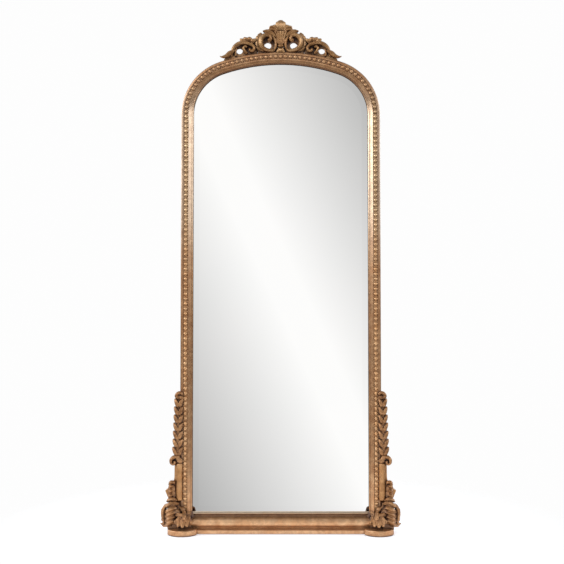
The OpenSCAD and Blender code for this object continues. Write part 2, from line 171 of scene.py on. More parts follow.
def smooth_line(points, samples):
    """Catmull-Rom line through the points, evenly spaced in its parameter."""
    p = np.asarray(points, float)
    if p.ndim == 1:
        p = p[:, None]
    padded = np.concatenate([2 * p[:1] - p[1:2], p, 2 * p[-1:] - p[-2:-1]])
    t = np.linspace(0, len(p) - 1, samples)
    i = np.minimum(t.astype(int), len(p) - 2)
    f = (t - i)[:, None]
    a, b, c, d = padded[i], padded[i + 1], padded[i + 2], padded[i + 3]
    return 0.5 * (2 * b + (c - a) * f + (2 * a - 5 * b + 4 * c - d) * f ** 2
                  + (3 * b - a - 3 * c + d) * f ** 3)


def unit(v):
    return v / np.maximum(np.linalg.norm(v, axis=-1, keepdims=True), 1e-9)


def tube_faces(rings, sides):
    faces = []
    for i in range(rings - 1):
        for j in range(sides):
            k = (j + 1) % sides
            faces.append((i * sides + j, i * sides + k, (i + 1) * sides + k, (i + 1) * sides + j))
    faces.append(tuple(reversed(range(sides))))
    faces.append(tuple(range((rings - 1) * sides, rings * sides)))
    return faces


def stroke(points, radii, back=0.0, keel=0.0, sides=20, samples=48, side_axis=None):
    """A tapering round stroke along a smooth line. back carries it backwards as a solid wall,
    keel pinches its crest to a ridge."""
    centre = smooth_line(points, samples)
    r = smooth_line(radii, samples)[:, 0]
    t = np.linspace(0, 1, samples)
    cap = np.sqrt(np.clip(1 - (1 - np.clip(np.minimum(t, 1 - t) / ROUND_END, 0, 1)) ** 2, 0.02, 1))
    r = np.maximum(r * cap, 0.2)
    tangent = unit(np.gradient(centre, axis=0))
    if side_axis is None:
        across = unit(np.cross(tangent, (0.0, 0.0, 1.0)))
    else:
        across = unit(np.cross(np.cross(tangent, side_axis), tangent))
    face = unit(np.cross(across, tangent))
    phi = np.linspace(0, 2 * pi, sides, endpoint=False)
    c, s = np.cos(phi), np.sin(phi)
    ridge = 1 + keel * np.exp(-((phi - pi / 2) / 0.35) ** 2)
    out = np.where(s > 0, s * ridge, s)
    depth = np.where(s > 0, 0.0, back * np.abs(s) ** 0.4)
    rings = (centre[:, None, :] + across[:, None, :] * (r[:, None] * c)[..., None]
             + face[:, None, :] * (r[:, None] * out - depth * cap[:, None])[..., None])
    return rings.reshape(-1, 3), tube_faces(samples, sides)


def leaf(points, widths, thick, lobes=0, cut=0.3, cup=0.25, vein=2.2, side_axis=(1, 0, 0),
         rows=64, columns=25, midrib=1.0):
    """A carved leaf along a smooth line. lobes scallop its edge to the depth of cut, each lobe
    swells and is veined, and cup lets the edges fall back."""
    spine = smooth_line(points, rows)
    width = np.maximum(smooth_line(widths, rows)[:, 0], 0.4)
    t = np.linspace(0, 1, rows)[:, None]
    s = np.linspace(-1, 1, columns)[None, :]
    reach = np.clip(t + LOBE_SWEEP * np.abs(s) ** 1.3 * (1 - t), 0, 1)
    grid_spine = np.stack([np.interp(reach, t[:, 0], spine[:, k]) for k in range(3)], axis=-1)
    grid_width = np.interp(reach, t[:, 0], width)
    phase = (lobes * t) % 1.0
    scallop = np.sqrt(np.clip(4 * phase * (1 - phase), 0, 1)) if lobes else np.ones_like(t)
    tangent = unit(np.gradient(grid_spine, axis=0))
    axis = np.asarray(side_axis, float)
    across = unit(axis - tangent * (tangent @ axis)[..., None])
    face = unit(np.cross(across, tangent))
    edge = np.abs(s)
    half = grid_width * (1 - cut * edge + cut * edge * scallop)
    height = -cup * grid_width * edge ** 2
    fade = np.clip(grid_width / np.max(width), 0, 1)
    height += vein * fade * (scallop - 0.6) * edge ** 0.8
    height -= 0.6 * vein * fade * np.exp(-((phase - 0.5) / 0.1) ** 2) * edge * bool(lobes)
    height -= midrib * vein * fade * np.exp(-(s / 0.1) ** 2)
    height += 0.5 * midrib * vein * fade * np.exp(-((edge - 0.22) / 0.1) ** 2)
    top = grid_spine + across * (half * s)[..., None] + face * height[..., None]
    under = top - face * (thick * (1 - 0.5 * edge ** 2) * np.ones_like(t))[..., None]
    under = under - across * (0.12 * half * s)[..., None]
    n = rows * columns
    verts = np.concatenate([top.reshape(-1, 3), under.reshape(-1, 3)])
    faces = []
    for i in range(rows - 1):
        for j in range(columns - 1):
            a = i * columns + j
            faces.append((a, a + 1, a + columns + 1, a + columns))
            faces.append((n + a, n + a + columns, n + a + columns + 1, n + a + 1))
    last = (rows - 1) * columns
    rim = [*range(columns), *range(2 * columns - 1, n, columns),
           *range(n - 2, last - 1, -1), *range(last - columns, 0, -columns)]
    for a, b in zip(rim, rim[1:] + rim[:1]):
        faces.append((b, a, n + a, n + b))
    return verts, faces


def ball(centre, radii, sides=24, rings=14):
    """A closed egg of three radii."""
    down = [pi * (0.02 + 0.96 * i / rings) for i in range(rings + 1)]
    turn = [2 * pi * j / sides for j in range(sides)]
    verts = [(centre[0] + radii[0] * sin(a) * cos(b), centre[1] + radii[1] * cos(a),
              centre[2] + radii[2] * sin(a) * sin(b)) for a in down for b in turn]
    return np.array(verts), tube_faces(rings + 1, sides)


def block(outline, p_back, p_front):
    """A flat outline (across, up) made thick from p_back to p_front."""
    verts = [(x, z, p) for p in (p_back, p_front) for x, z in outline]
    return np.array(verts, float), tube_faces(2, len(outline))


def lathe(centre, levels, sides, start=0.0):
    """A turned shape with its axis forwards, from levels of (radius, forwards)."""
    turn = [start + 2 * pi * j / sides for j in range(sides)]
    verts = [(centre[0] + r * cos(a), centre[1] + r * sin(a), p)
             for r, p in levels for a in turn]
    return np.array(verts), tube_faces(len(levels), sides)


def disc(centre, radius, p_back, p_front, swell=0.0, sides=48, rings=8):
    """A drum with its axis forwards; swell domes its front."""
    dome = [1 - i / rings for i in range(rings)]
    levels = [(radius * k, p_front + swell * (1 - k * k)) for k in dome]
    return lathe(centre, [(radius, p_back)] + levels, sides)


def pierced_plate(centre, hole_r, outline, p_back, p_front, ease=2.5, samples=90):
    """A backing plate with a round hole; its outline is a loop seen from the hole's centre."""
    rel = np.asarray(outline, float) - np.asarray(centre, float)
    angle = np.unwrap(np.arctan2(rel[:, 1], rel[:, 0]))
    reach = np.hypot(*rel.T)
    turn = np.linspace(angle[0], angle[0] + 2 * pi, samples, endpoint=False)
    outer = np.interp(turn, np.append(angle, angle[0] + 2 * pi), np.append(reach, reach[0]))
    rings = ((hole_r, p_back), (outer, p_back), (outer, p_front - ease), (outer - ease, p_front),
             (hole_r + ease, p_front), (hole_r, p_front - ease))
    verts = [(centre[0] + r * cos(t), centre[1] + r * sin(t), p)
             for radii, p in rings for r, t in zip(np.broadcast_to(radii, samples), turn)]
    faces, n = [], len(rings)
    for k in range(n):
        for j in range(samples):
            a, b = (j + 1) % samples, (k + 1) % n * samples
            faces.append((k * samples + j, k * samples + a, b + a, b + j))
    return np.array(verts), faces


def arc(cx, cy, r, a0, a1, steps):
    """Points of an arc, angles in degrees."""
    turn = [radians(a0 + (a1 - a0) * i / steps) for i in range(steps + 1)]
    return [(cx + r * cos(a), cy + r * sin(a)) for a in turn]


# ---- materials ----

def srgb(colour):
    """A colour from 0 to 255 as the linear values that Blender's sockets take."""
    parts = [c / 255 for c in colour]
    return (*(c / 12.92 if c <= 0.04045 else ((c + 0.055) / 1.055) ** 2.4 for c in parts), 1.0)


class Nodes:
    """Builds the nodes of a material or a world."""

    def __init__(self, owner):
        owner.use_nodes = True
        self.owner, self.tree = owner, owner.node_tree
        self.shader = self.tree.nodes.get("Principled BSDF")

    def add(self, kind, **settings):
        node = self.tree.nodes.new(kind)
        for key, value in settings.items():
            setattr(node, key, value)
        return node

    def feed(self, socket, value):
        """Links another node's output to a socket, or sets its constant."""
        if isinstance(value, bpy.types.NodeSocket):
            self.tree.links.new(value, socket)
        else:
            socket.default_value = value

    def fill(self, node, **values):
        """Feeds a node's inputs by their names."""
        for name, value in values.items():
            self.feed(node.inputs[name.replace("_", " ")], value)
        return node

    def place(self, space):
        return self.add("ShaderNodeTexCoord").outputs[space]

    def axes(self, space):
        return self.fill(self.add("ShaderNodeSeparateXYZ"), Vector=self.place(space)).outputs

    def noise(self, scale, detail=4.0, rough=0.55):
        return self.fill(self.add("ShaderNodeTexNoise"), Vector=self.place("Object"), Scale=scale,
                         Detail=detail, Roughness=rough).outputs["Fac"]

    def spread(self, value, low, high, to_low=0.0, to_high=1.0):
        """A soft step from to_low to to_high as the value goes from low to high."""
        node = self.add("ShaderNodeMapRange", interpolation_type="SMOOTHSTEP")
        return self.fill(node, Value=value, From_Min=low, From_Max=high, To_Min=to_low,
                         To_Max=to_high).outputs["Result"]

    def calc(self, operation, *terms):
        node = self.add("ShaderNodeMath", operation=operation)
        for socket, term in zip(node.inputs, terms):
            self.feed(socket, term)
        return node.outputs[0]

    def times(self, a, b):
        return self.calc("MULTIPLY", a, b)

    def mix(self, factor, a, b, kind="RGBA"):
        """From a to b, of colours or of numbers (kind FLOAT)."""
        node = self.add("ShaderNodeMix", data_type=kind)
        first, result = (6, 2) if kind == "RGBA" else (2, 0)
        for i, value in ((0, factor), (first, a), (first + 1, b)):
            self.feed(node.inputs[i], value)
        return node.outputs[result]

    def bump(self, height, strength, distance):
        node = self.fill(self.add("ShaderNodeBump"), Height=height, Strength=strength,
                         Distance=distance)
        self.fill(self.shader, Normal=node.outputs["Normal"])

    def hollow(self, distance):
        """0 in deep hollows, 1 in the open."""
        node = self.add("ShaderNodeAmbientOcclusion", samples=12)
        return self.fill(node, Distance=distance).outputs["AO"]


def gilt_material(name, gold, pale, dark, reach, metal=0.7, hollows=(0.4, 0.92), polish=0.2,
                  coat=0.35, painted_highlight=None):
    """Gold leaf rubbed bright on what stands proud, with brown glaze left in the hollows, and
    painted shade laid on as more of that glaze wherever the mesh's own stored value asks for it;
    the pale colour given paints a highlight over a band of height in the middle."""
    m = Nodes(bpy.data.materials.new(name))
    gold, pale, dark = srgb(gold), srgb(pale), srgb(dark)
    cloud = m.spread(m.noise(28, 5), 0.35, 0.68)
    grain = m.noise(420, 3)
    streak = m.spread(m.noise(60, 6, 0.7), 0.4, 0.62)
    leaf_gold = m.mix(cloud, gold, pale)
    # painted highlight: a band of height is mixed towards the pale colour given
    if painted_highlight:
        low, high = (m.spread(m.axes("Object")[2], *ends) for ends in PAINTED_HIGHLIGHT_ENDS)
        share = m.times(m.times(low, high), PAINTED_HIGHLIGHT_SHARE)
        leaf_gold = m.mix(share, leaf_gold, srgb(painted_highlight))
    worn = m.mix(m.times(streak, 0.3), leaf_gold, dark)
    # the mesh's stored painted shade deepens the glaze of the hollows
    asked = m.add("ShaderNodeAttribute", attribute_name="patina_and_painted_shade")
    open_part = m.calc("SUBTRACT", m.spread(m.hollow(reach), *hollows), asked.outputs["Fac"])
    speckled = m.calc("ADD", open_part, m.times(m.calc("SUBTRACT", grain, 0.5), 0.3))
    patina_and_painted_shade = m.calc("MAXIMUM", m.calc("MINIMUM", speckled, 1.0), 0.0)
    rough = m.calc("ADD", m.spread(patina_and_painted_shade, 0.0, 1.0, 0.6, polish), m.times(grain, 0.1))
    colour, shine = m.mix(patina_and_painted_shade, dark, worn), m.spread(patina_and_painted_shade, 0.0, 1.0, 0.2, metal)
    m.fill(m.shader, Base_Color=colour, Metallic=shine, Roughness=rough, Coat_Weight=coat,
           Coat_IOR=1.7, Coat_Roughness=0.28)
    m.bump(m.calc("ADD", m.times(grain, 0.35), m.noise(130, 4)), 0.2, 0.0006)
    return m.owner


def plain_material(name, colour, dark, scale, rough, metal=0.0, bump=0.15):
    """A cloudy colour and a fine surface."""
    m = Nodes(bpy.data.materials.new(name))
    cloud = m.noise(scale, 5, 0.6)
    m.fill(m.shader, Base_Color=m.mix(m.spread(cloud, 0.3, 0.7), srgb(dark), srgb(colour)),
           Metallic=metal, Roughness=m.spread(cloud, 0.2, 0.8, rough + 0.08, rough - 0.06))
    m.bump(m.noise(scale * 6, 3, 0.6), bump, 0.0004)
    return m.owner


def glass_material():
    """Silvered plate glass: a clean mirror."""
    m = Nodes(bpy.data.materials.new("mirror_silver"))
    cloud = m.spread(m.noise(3, 2), 0.3, 0.7)
    tint = m.mix(cloud, (0.975, 0.98, 0.98, 1), (0.985, 0.985, 0.985, 1))
    m.fill(m.shader, Base_Color=tint, Roughness=0.0, Metallic=1.0)
    return m.owner


# the painted highlight up the stiles: the heights where it begins and ends, and how far it goes
PAINTED_HIGHLIGHT_ENDS, PAINTED_HIGHLIGHT_SHARE = ((0.95, 1.25), (1.75, 1.55)), 0.55

# the moulding carries the painted highlight up the stiles
GILT = gilt_material("gilt_moulding", (192, 136, 88), (212, 162, 114), (104, 62, 28), 0.016,
                     painted_highlight=(228, 206, 176))
GILT_BASE = gilt_material("gilt_base", (212, 158, 108), (228, 180, 132), (112, 62, 24), 0.010, 0.6,
                          (0.3, 0.85), 0.26)
# dark gilt that paints the shade in the rail's hollow and on the blocks behind the corner leaves
PAINTED_SHADE_GILT = gilt_material("gilt_painted_shade", (154, 112, 72), (168, 124, 82), (60, 24, 5), 0.020, 0.3,
                       (0.2, 0.8), 0.5, 0.12)
# pale gilt that paints light onto the rail's top
SILL_PAINTED_LIGHT = plain_material("gilt_sill_painted_light", (244, 214, 178), (230, 194, 152), 40, 0.35, metal=0.3)
# the beads carry the painted highlight up the stiles too
GILT_BEADS = gilt_material("gilt_beads", (222, 164, 106), (236, 186, 132), (110, 66, 34), 0.005,
                           polish=0.28, painted_highlight=(236, 206, 160))
CARVING = 0.022, 0.6, (0.3, 0.95), 0.34, 0.22
GILT_CARVED = gilt_material("gilt_carved", (160, 108, 60), (190, 138, 88), (58, 24, 5), *CARVING)
GILT_CREST = gilt_material("gilt_crest", (178, 128, 76), (206, 160, 106), (64, 28, 7), *CARVING)
GILT_PLAIN = gilt_material("gilt_plain", (192, 136, 80), (210, 158, 104), (96, 52, 20), 0.012, 0.6,
                           (0.3, 0.85), 0.34, 0.22)
MIRROR = glass_material()
FELT = plain_material("felt", (46, 42, 40), (26, 24, 23), 300, 0.9)
FIBREBOARD = plain_material("fibreboard", (160, 128, 94), (148, 117, 85), 90, 0.82, bump=0.3)
BACK_PAINT = plain_material("back_paint", (58, 42, 30), (38, 27, 19), 40, 0.7)
ZINC = plain_material("zinc_steel", (186, 188, 190), (150, 152, 156), 90, 0.32, metal=1.0)
BRASS = plain_material("screw_brass", (196, 164, 96), (150, 116, 60), 120, 0.3, metal=1.0)
RUBBER = plain_material("rubber", (34, 34, 35), (22, 22, 23), 160, 0.78)


# ---- mouldings ----

# the moulding's section in mm: its sight lip, its channel for the beads, the beads and their strip
LIP_DROP, LIP_BACK, REBATE, LIP_EDGE = 8.0, 14.0, 10.0, 2.4
BEAD_U, CHANNEL_W, CHANNEL_DEPTH = 29.0, 15.0, 4.0
BEAD_R, BEAD_PITCH, STRIP_T = 7.35, 18.6, 1.5
# shares of painted shade, laid on as extra glaze: deep shade, the outer edge, more of it up the
# stiles, the beads of the arch
PAINTED_SHADE_DEEP, OUTER_PAINTED_SHADE, STILE_PAINTED_SHADE, ARCH_BEADS_PAINTED_SHADE = 0.8, 0.08, 0.2, 0.3


def arc_through(a, b, r, steps):
    """An arc of radius r from a to b that bends in behind the straight line between them."""
    a, b = np.array(a, float), np.array(b, float)
    d = b - a
    length = np.linalg.norm(d)
    centre = (a + b) / 2 + np.array([-d[1], d[0]]) / length * sqrt(r * r - length ** 2 / 4)
    start = atan2(*(a - centre)[::-1])
    stop = atan2(*(b - centre)[::-1])
    if stop < start:
        stop += 2 * pi
    return [tuple(centre + r * np.array([cos(t), sin(t)]))
            for t in np.linspace(start, stop, steps + 1)]


def moulding_profile():
    """Section of the moulding in mm: outwards from the sight edge, forwards from its front."""
    w, t = MOULD_W / MM, (BACK_Y - FRONT_Y) / MM
    inner = BEAD_U - CHANNEL_W / 2
    outer = BEAD_U + CHANNEL_W / 2
    lip = LIP_EDGE
    points = [(REBATE, -t), (REBATE, -LIP_BACK), (lip, -LIP_BACK), (lip, -12.0), (lip + 0.3, -11.1),
              (lip + 1.1, -10.4), (lip + 4.0, -8.6), (lip + 4.5, -8.7), (lip + 4.9, -9.6),
              (lip + 5.4, -9.6)]
    points += arc_through((lip + 5.8, -LIP_DROP - 0.9), (inner - 1.8, -1.2), 34, 10)
    points += arc(inner - 1.0, -1.0, 0.8, 160, 0, 4)
    points += [(inner, -CHANNEL_DEPTH), (outer, -CHANNEL_DEPTH)]
    points += arc(outer + 0.9, -0.9, 0.9, 180, 90, 3)
    points += [(w - 8.0, 0.0), (w - 7.6, -0.9)]
    points += arc(w - 6.2, -6.6, 6.2, 90, 0, 10)
    points += [(w - 1.2, -8.0), (w - 1.2, -11.0), (w, -12.0), (w, -t + 1.0), (w - 1.0, -t)]
    return points


MOULDING = moulding_profile()


def path_straight(x, z0, z1, steps):
    return [((x, z0 + (z1 - z0) * i / steps), (1.0, 0.0)) for i in range(steps + 1)]


def path_arc(cx, cz, r, a0, a1, steps):
    return list(zip(arc(cx, cz, r, a0, a1, steps), arc(0, 0, 1, a0, a1, steps)))


def swept(profile, path):
    """A section (mm) carried along a path of (place, outward direction) in metres."""
    verts = [(x + nx * u * MM, FRONT_Y - v * MM, z + nz * u * MM)
             for (x, z), (nx, nz) in path for u, v in profile]
    return verts, tube_faces(len(path), len(profile))


def paint_back(obj):
    """Faces that look backwards, and the rebate, take the second material."""
    for polygon in obj.data.polygons:
        if polygon.normal.y > 0.9:
            polygon.material_index = 1


def paint_shade_in_hollow(obj, depth_y, height):
    """Painted shade: faces further back than depth_y and above a height take the third, dark
    material.
    """
    for polygon in obj.data.polygons:
        inside = polygon.center.y > depth_y and polygon.center.z > height
        if inside and polygon.material_index == 0 and polygon.normal.z < 0.9:
            polygon.material_index = 2


def set_painted_shade(obj, share):
    """Stores how much painted shade, laid on as extra glaze, each point of a mesh holds;
    share(number, place) says it.
    """
    patina_and_painted_shade = obj.data.attributes.new("patina_and_painted_shade", "FLOAT", "POINT")
    for i, vertex in enumerate(obj.data.vertices):
        patina_and_painted_shade.data[i].value = share(i, vertex.co)


def ramp(value, start, stop):
    """0 before start, 1 past stop, straight in between."""
    return min(max((value - start) / (stop - start), 0.0), 1.0)


def moulding_painted_shade(i, place):
    """Painted shade: the sight lip is darkened under the arch, where it faces down into shade, and
    left bright up the stiles; the outer edge gets a little painted shade, most of all up the
    stiles."""
    u = MOULDING[i % len(MOULDING)][0]
    if u < LIP_EDGE + 5.0:
        return PAINTED_SHADE_DEEP * ramp(place.z, SPRING_Z + 0.04, SPRING_Z + 0.14)
    if u > BEAD_U + CHANNEL_W / 2 + 0.5:
        up_stile = ramp(place.z, 0.6, 1.0) * ramp(place.z, SPRING_Z + 0.12, SPRING_Z)
        return OUTER_PAINTED_SHADE + STILE_PAINTED_SHADE * up_stile
    return 0.0


def build_mouldings():
    a0 = degrees(CROWN_ANGLE)
    stile_foot = SIGHT_Z - 1.5 * LIP_EDGE * MM
    for name, path in (
            ("stile_right_gilt", path_straight(SIGHT_X, stile_foot, SPRING_Z, 24)),
            ("haunch_right_gilt", path_arc(HAUNCH_X, SPRING_Z, HAUNCH_R, 0, 90 - a0, 48)),
            ("crown_rail_gilt", path_arc(0, CROWN_Z, CROWN_R, 90 - a0, 90 + a0, 72))):
        obj = new_object(name, *swept(MOULDING, path))
        set_painted_shade(obj, moulding_painted_shade)
        smooth_shade(obj, 32)
        paint_back(obj)
        if "_right" in name:
            finish_pair(obj, name.split("_")[0], "gilt_moulding", GILT, BACK_PAINT)
        else:
            finish_piece(obj, "frame", ["crown_rail"], "gilt_moulding", GILT, BACK_PAINT)


# ---- beads ----

def bead_mesh(x, z, angle):
    """Half a ball on a low collar; angle turns its seam along the row."""
    base, rings = STRIP_T - CHANNEL_DEPTH, 9
    levels = [(BEAD_R, base - 0.5)]
    for i in range(rings):
        a = radians(90 * i / (rings - 1)) * 0.985
        levels.append((BEAD_R * cos(a) ** 0.8, base + 0.4 + 0.95 * BEAD_R * sin(a)))
    verts, faces = lathe((x / MM, z / MM), levels, 24, angle)
    return to_world(verts), faces


def strip_profile():
    half, base, ease = CHANNEL_W / 2 - 0.3, -CHANNEL_DEPTH + 0.05, 0.5
    top = base + STRIP_T
    return [(-half, base), (-half, top - ease), (-half + ease, top), (half - ease, top),
            (half, top - ease), (half, base)]


def bead_row(name, stretches, places):
    """Beads at places and the strips that they are cast on, as one piece."""
    strips = [swept(strip_profile(), path) for path in stretches]
    beads = [bead_mesh(x, z, angle) for x, z, angle in places]
    obj = new_object(name, *join_parts(strips + beads))
    smooth_shade(obj, 40)
    return obj


def build_beads():
    row_x = SIGHT_X + BEAD_U * MM
    count = int((SPRING_Z - SIGHT_Z - 2 * BEAD_R * MM) / (BEAD_PITCH * MM))
    places = [(row_x, SPRING_Z - (i + 0.5) * BEAD_PITCH * MM, 0.0) for i in range(count)]
    right = bead_row("bead_string_right", [path_straight(row_x, SIGHT_Z, SPRING_Z, 2)], places)
    finish_pair(right, "beads", "gilt_beads", GILT_BEADS)

    a0 = degrees(CROWN_ANGLE)
    haunch_r, crown_r = HAUNCH_R + BEAD_U * MM, CROWN_R + BEAD_U * MM
    haunch = path_arc(HAUNCH_X, SPRING_Z, haunch_r, 0, 90 - a0, 36)
    stretches = [path_arc(0, CROWN_Z, crown_r, 90 - a0, 90 + a0, 60), haunch,
                 [((-x, z), (-nx, nz)) for (x, z), (nx, nz) in reversed(haunch)]]
    places = []
    n = round(haunch_r * radians(90 - a0) / (BEAD_PITCH * MM))
    for s in (1, -1):
        for i in range(n):
            a = radians((i + 0.5) * (90 - a0) / n)
            places.append((s * (HAUNCH_X + haunch_r * cos(a)),
                           SPRING_Z + haunch_r * sin(a), a))
    n = round(crown_r * radians(2 * a0) / (BEAD_PITCH * MM))
    for i in range(n):
        a = radians(90 - a0 + (i + 0.5) * 2 * a0 / n)
        places.append((crown_r * cos(a), CROWN_Z + crown_r * sin(a), a))
    arch = bead_row("bead_string_arch", stretches, places)
    # painted shade over all the arch's beads
    set_painted_shade(arch, lambda i, place: ARCH_BEADS_PAINTED_SHADE)
    finish_piece(arch, "frame", ["beads_arch"], "gilt_beads", GILT_BEADS)


# ---- base ----

def rail_profile():
    """Section of the base rail in mm: forwards from the moulding's front, up from the floor."""
    foot, sight = rail_lo.z / MM, SIGHT_Z / MM
    top, rebate, back = sight - LIP_EDGE, sight - REBATE, -(BACK_Y - FRONT_Y) / MM
    r, middle = 15.8, foot + 25.2
    hollow_low, hollow_top = middle + r + 1.0, top - 3.0
    points = [(back, foot), (2.6, foot), (3.0, foot + 0.8), (1.2, foot + 2.5), (1.2, foot + 6.5),
              (2.4, foot + 8.6)]
    points += arc(1.8, middle, r, -78, 84, 28)
    points += [(1.6, hollow_low)]
    reach = (hollow_top - hollow_low) / 2
    points += arc(-0.8, hollow_low + reach, reach + 0.6, 262, 98, 16)
    points += [(0.4, hollow_top + 0.4), (2.0, hollow_top + 0.9), (2.0, top - 1.0), (1.2, top)]
    points += [(-LIP_BACK, top), (-LIP_BACK, rebate), (back, rebate)]
    return points


# where the painted shade lies, as dark gilt: (behind this depth, above this height)
RAIL_PAINTED_SHADE = (0.0, rail_lo.z + 0.0395)
BLOCK_PAINTED_SHADE = (block_lo.y + 0.014, board_hi.z + 0.004)
BOARD_EDGE, BOARD_ROUND = 0.0012, 0.0035


def build_base():
    """The rail, with painted shade in its hollow and painted light on its top, the board under it,
    the two blocks.
    """
    section = rail_profile()
    verts = [(x, FRONT_Y - p * MM, z * MM) for x in (-rail_hi.x, rail_hi.x) for p, z in section]
    rail = new_object("base_rail_gilt", verts, tube_faces(2, len(section)))
    smooth_shade(rail, 30)
    paint_back(rail)
    # painted shade in the rail's hollow
    paint_shade_in_hollow(rail, *RAIL_PAINTED_SHADE)
    # painted light: the rail's top faces take the pale fourth material
    for polygon in rail.data.polygons:
        if polygon.normal.z > 0.9 and polygon.center.z > SIGHT_Z - 0.004:
            polygon.material_index = 3
    finish_piece(rail, "frame", ["base_rail"], "gilt_moulding", GILT_BASE, BACK_PAINT, PAINTED_SHADE_GILT,
                 SILL_PAINTED_LIGHT)

    lo, hi, edge, r = board_lo, board_hi, BOARD_EDGE, BOARD_ROUND
    section = [(hi.y, lo.z), (lo.y + edge, lo.z), (lo.y, lo.z + edge), (lo.y, hi.z - r)]
    section += [(lo.y + r * (1 - cos(a)), hi.z - r * (1 - sin(a)))
                for a in np.linspace(0.15, pi / 2, 10)]
    section += [(hi.y, hi.z)]
    verts = [(x, y, z) for x in (lo.x, hi.x) for y, z in section]
    board = new_object("plinth_board_gilt", verts, tube_faces(2, len(section)))
    smooth_shade(board, 40)
    paint_back(board)
    finish_piece(board, "frame", ["plinth_board"], "gilt_moulding", GILT_BASE, BACK_PAINT)

    block_right = corner_block()
    paint_back(block_right)
    # painted shade on the block behind its leaf
    paint_shade_in_hollow(block_right, *BLOCK_PAINTED_SHADE)
    finish_pair(block_right, "plinth_block", "gilt_moulding", GILT, BACK_PAINT, PAINTED_SHADE_GILT)


BLOCK_BOW, BLOCK_STEP, BLOCK_ROUND = 0.064, 0.018, 0.006


def corner_block():
    """The bow-fronted block: its plan, stacked up with an eased foot and a rounded top edge.
    Above the rail's foot its back steps forwards to make room for the rail."""
    lo, hi = block_lo, block_hi
    cx, half = (lo.x + hi.x) / 2, (hi.x - lo.x) / 2
    step_y, shelf = FRONT_Y - BLOCK_STEP, rail_lo.z

    def plan(inset, z, back):
        r, w = BLOCK_BOW - inset, half - inset
        reach = asin(w / r)
        bow = [(cx + r * sin(a), lo.y + BLOCK_BOW - r * cos(a), z)
               for a in np.linspace(-reach, reach, 33)]
        return bow + [(cx + w, back, z), (cx - w, back, z)]

    top, round_r = hi.z + 0.002, BLOCK_ROUND
    layers = [plan(0.0015, lo.z, hi.y), plan(0.0, lo.z + 0.0015, hi.y), plan(0.0, shelf, hi.y),
              plan(0.0, shelf + 0.00005, step_y)]
    for a in np.linspace(0, pi / 2, 9):
        layers.append(plan(round_r * (1 - cos(a)), top - round_r * (1 - sin(a)), step_y))
    verts = [v for layer in layers for v in layer]
    obj = new_object("plinth_block_right_gilt", verts, tube_faces(len(layers), len(layers[0])))
    smooth_shade(obj, 38)
    return obj


# ---- corner ornaments, drawn from the moulding's outer edge ----

def corner_volute_parts():
    """Rolled acanthus beside a corner: block, drum, ribs that wind over it, outer leaf and hook."""
    yield block([(0.5, 16.5), (36, 16.5), (44, 34), (48, 72), (42, 104), (26, 115.5), (0.5, 115.5)],
                -31, 12)
    yield disc((21, 69), 29, 10, 30, swell=7)
    yield ball((13, 68, 16), (13, 28, 16))
    yield block([(2, 18), (42, 18), (44, 44), (2, 44)], 8, 24)
    for z in (93, 77, 62, 48):
        lobe = [(10, z + 6, 26), (21, z + 7, 38), (33, z + 2, 40), (43, z - 6, 34),
                (47, z - 11, 25)]
        yield stroke(lobe, [5.5, 8, 8.4, 6.5, 3.5], back=14, keel=0.3, samples=40)
        yield stroke([(x, z1 + 1.5, p + 6) for x, z1, p in lobe[1:4]], [1.5, 2.4, 1.2], samples=24)
    # the leaf over the roll's shoulder, down its outer side to a hooked tip
    yield leaf([(10, 107, 8), (22, 113, 18), (35, 112, 24), (46, 104, 24)], [7, 9, 10, 7], thick=14,
               lobes=3, vein=2.4, cup=0.3, side_axis=(0.4, 1, 0))
    rim = [(38, 112, 16), (51, 102, 22), (58, 84, 24), (57, 64, 24), (54, 50, 24), (57, 42, 22),
           (64, 39, 18), (69, 41, 14)]
    yield stroke(rim, [6, 8, 8.5, 8, 7, 5.5, 4, 2.2], back=22, keel=0.3, samples=80)
    for z, out in ((94, 6), (76, 6), (60, 5)):
        yield stroke([(53, z + 6, 29), (58 + out * 0.4, z, 28), (58 + out, z - 9, 21)],
                     [3.5, 4.5, 2.2], back=10, samples=24)
    yield stroke([(26, 42, 24), (42, 37, 25), (55, 32, 20), (63, 33, 14)], [7, 7, 4.5, 2.4],
                 back=16, keel=0.3)


